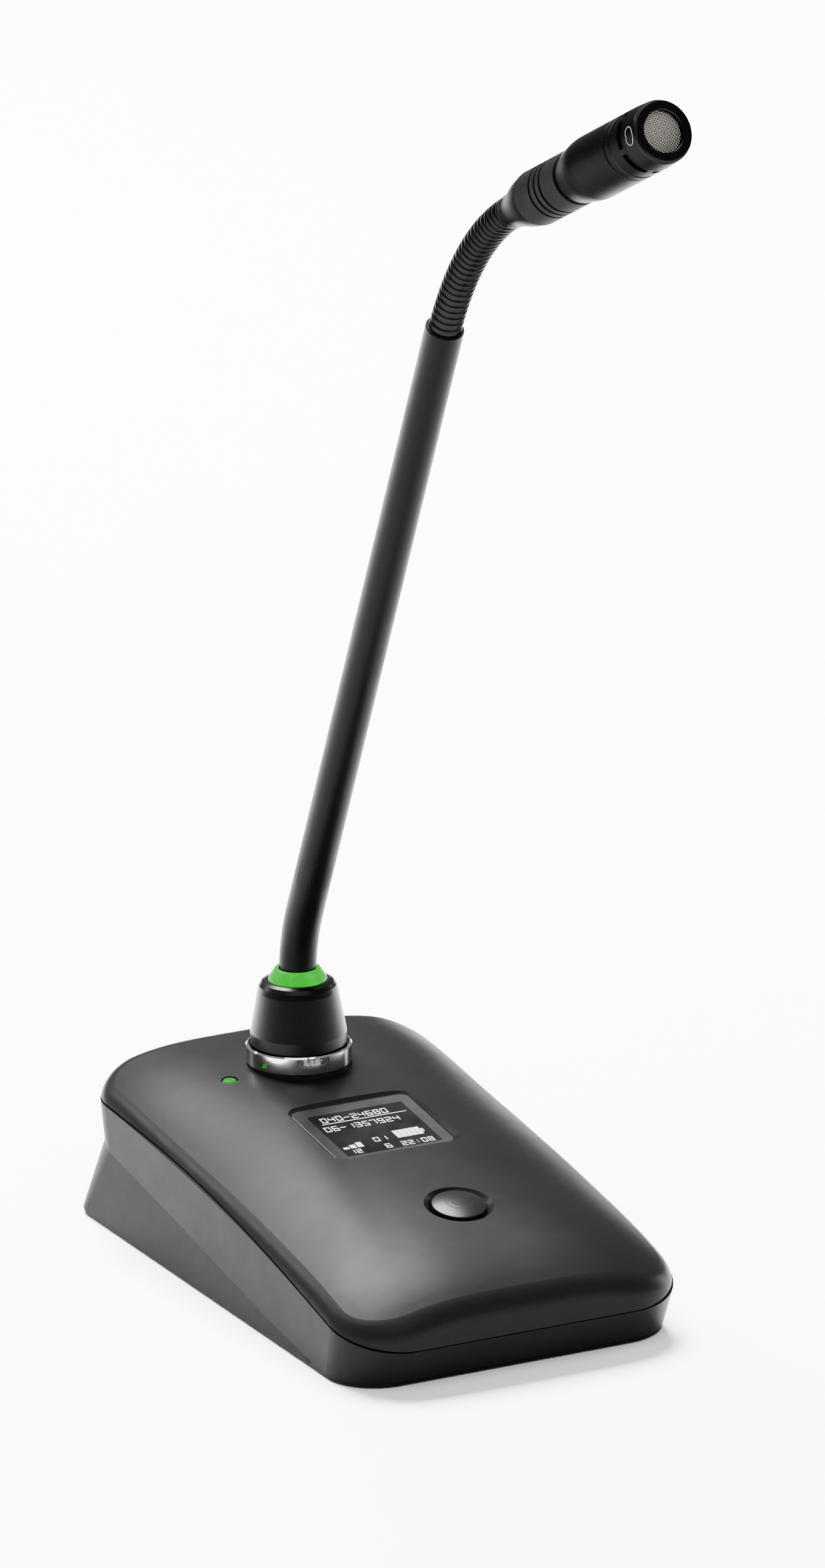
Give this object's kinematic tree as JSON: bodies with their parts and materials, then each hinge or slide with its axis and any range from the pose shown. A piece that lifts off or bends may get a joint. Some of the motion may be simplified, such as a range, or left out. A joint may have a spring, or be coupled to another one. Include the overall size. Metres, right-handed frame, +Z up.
{
  "type": "gooseneck desktop microphone",
  "caption": "Wireless desktop microphone: wedge base with button and display, plug-in gooseneck with light ring, slim condenser head with grille.",
  "frame": {"origin": "on the table, under the middle of the whole object's bounding box", "axes": "+Z up, -Y towards the person speaking, +X at the right hand of somebody looking along +Y"},
  "size_m": [0.0712, 0.1758, 0.2535],
  "materials": {
    "battery": "matte",
    "board": "satin",
    "boot": "satin",
    "brass": "polished",
    "cable": "matte",
    "cap": "satin",
    "capsule": "satin",
    "chrome": "polished",
    "display": "gloss",
    "flex": "satin",
    "glow": "gloss",
    "head": "satin",
    "lens": "gloss",
    "mesh": "satin",
    "rubber": "matte",
    "skirt": "matte",
    "sleeve": "satin",
    "steel": "satin",
    "steel_dark": "satin",
    "shell": "satin",
    "white": "satin"
  },
  "bodies": {
    "base": {"top_shell": "shell", "bottom_shell": "skirt", "ballast_plate": "steel", "rubber_feet": "rubber", "shell_screws": "steel", "board_screws": "steel", "display_lens": "lens", "display_module": "display", "ui_board": "board", "main_board": "board", "rf_shield": "steel", "antenna": "board", "tact_switch": "steel_dark", "power_led": "glow", "socket_body": "boot", "socket_contacts": "brass", "chrome_ring": "chrome", "battery_pack": "battery", "battery_contacts": "white", "slide_switch": "steel", "charge_contacts": "brass"},
    "button": {"mute_button": "cap"},
    "door": {"battery_door": "skirt"},
    "switch_knob": {"power_switch": "skirt"},
    "gooseneck_root": {"plug_body": "boot", "plug_pins": "brass", "boot": "boot", "light_ring": "glow", "ring_board": "board", "neck_root": "flex"},
    "lower_1": {"lower_link_1": "sleeve"},
    "lower_2": {"lower_link_2": "sleeve"},
    "lower_3": {"lower_link_3": "sleeve"},
    "lower_4": {"lower_link_4": "sleeve"},
    "lower_5": {"lower_link_5": "sleeve"},
    "tube": {"neck_tube": "flex", "tube_sleeve": "sleeve", "tube_collar": "sleeve", "signal_cable": "cable"},
    "upper_1": {"upper_link_1": "flex"},
    "upper_2": {"upper_link_2": "flex"},
    "upper_3": {"upper_link_3": "flex"},
    "upper_4": {"upper_link_4": "flex"},
    "upper_5": {"upper_link_5": "flex"},
    "upper_6": {"upper_link_6": "flex"},
    "upper_7": {"upper_link_7": "flex"},
    "upper_8": {"upper_link_8": "flex"},
    "head": {"neck_adapter": "head", "grip_ring": "rubber", "head_body": "head", "preamp_board": "board", "head_contact": "brass"},
    "cartridge": {"cartridge_body": "head", "face_cap": "head", "grille_mesh": "mesh", "capsule": "capsule", "capsule_gasket": "rubber", "cartridge_pin": "brass"}
  },
  "joints": [
    {"name": "button_press", "type": "slide", "parent": "base", "child": "button", "axis": [0, 0.1908, -0.9816], "range_m": [0, 0.0005], "stiffness_N_per_m": 400},
    {"name": "battery_door_off", "type": "slide", "parent": "base", "child": "door", "axis": [0, 0, -1], "range_m": [0, 0.01]},
    {"name": "power_slide", "type": "slide", "parent": "base", "child": "switch_knob", "axis": [1, 0, 0], "range_m": [0, 0.005]},
    {"name": "gooseneck_unplug", "type": "slide", "parent": "base", "child": "gooseneck_root", "axis": [0, 0, 1], "range_m": [0, 0.014]},
    {"name": "lower_bend_1", "type": "hinge", "parent": "gooseneck_root", "child": "lower_1", "pos_m": [0, 0.05961, 0.0516], "axis": [1, 0, 0], "range_deg": [-8, 8]},
    {"name": "lower_lean_2", "type": "hinge", "parent": "lower_1", "child": "lower_2", "pos_m": [0, 0.05905, 0.05556], "axis": [0, -0.9659, -0.2588], "range_deg": [-6, 6]},
    {"name": "lower_bend_3", "type": "hinge", "parent": "lower_2", "child": "lower_3", "pos_m": [0, 0.05802, 0.05942], "axis": [1, 0, 0], "range_deg": [-8, 8]},
    {"name": "lower_lean_4", "type": "hinge", "parent": "lower_3", "child": "lower_4", "pos_m": [0, 0.05659, 0.06316], "axis": [0, -0.8982, -0.4396], "range_deg": [-6, 6]},
    {"name": "lower_bend_5", "type": "hinge", "parent": "lower_4", "child": "lower_5", "pos_m": [0, 0.05483, 0.06675], "axis": [1, 0, 0], "range_deg": [-8, 8]},
    {"name": "lower_lean_6", "type": "hinge", "parent": "lower_5", "child": "tube", "pos_m": [0, 0.05307, 0.07035], "axis": [0, -0.8982, -0.4396], "range_deg": [-6, 6]},
    {"name": "upper_bend_1", "type": "hinge", "parent": "tube", "child": "upper_1", "pos_m": [0, -0.00799, 0.19509], "axis": [0.9937, 0.1004, 0.0492], "range_deg": [-8, 8]},
    {"name": "upper_lean_2", "type": "hinge", "parent": "upper_1", "child": "upper_2", "pos_m": [0.00002, -0.01021, 0.19914], "axis": [0.1112, -0.8444, -0.524], "range_deg": [-8, 8]},
    {"name": "upper_bend_3", "type": "hinge", "parent": "upper_2", "child": "upper_3", "pos_m": [0.00007, -0.01264, 0.20306], "axis": [0.9937, 0.1004, 0.0492], "range_deg": [-8, 8]},
    {"name": "upper_lean_4", "type": "hinge", "parent": "upper_3", "child": "upper_4", "pos_m": [0.00016, -0.01529, 0.20683], "axis": [0.1089, -0.7713, -0.627], "range_deg": [-8, 8]},
    {"name": "upper_bend_5", "type": "hinge", "parent": "upper_4", "child": "upper_5", "pos_m": [0.00027, -0.01819, 0.21042], "axis": [0.9937, 0.1004, 0.0492], "range_deg": [-8, 8]},
    {"name": "upper_lean_6", "type": "hinge", "parent": "upper_5", "child": "upper_6", "pos_m": [0.00042, -0.02134, 0.21379], "axis": [0.1038, -0.6663, -0.7384], "range_deg": [-8, 8]},
    {"name": "upper_bend_7", "type": "hinge", "parent": "upper_6", "child": "upper_7", "pos_m": [0.00062, -0.02475, 0.21689], "axis": [0.9937, 0.1004, 0.0492], "range_deg": [-8, 8]},
    {"name": "upper_lean_8", "type": "hinge", "parent": "upper_7", "child": "upper_8", "pos_m": [0.00085, -0.02842, 0.21968], "axis": [0.0948, -0.5231, -0.847], "range_deg": [-8, 8]},
    {"name": "upper_bend_9", "type": "hinge", "parent": "upper_8", "child": "head", "pos_m": [0.00112, -0.03232, 0.22213], "axis": [0.9937, 0.1004, 0.0492], "range_deg": [-8, 8]},
    {"name": "cartridge_off", "type": "slide", "parent": "head", "child": "cartridge", "axis": [0.0685, -0.8944, 0.4419], "range_m": [0, 0.012]}
  ]
}
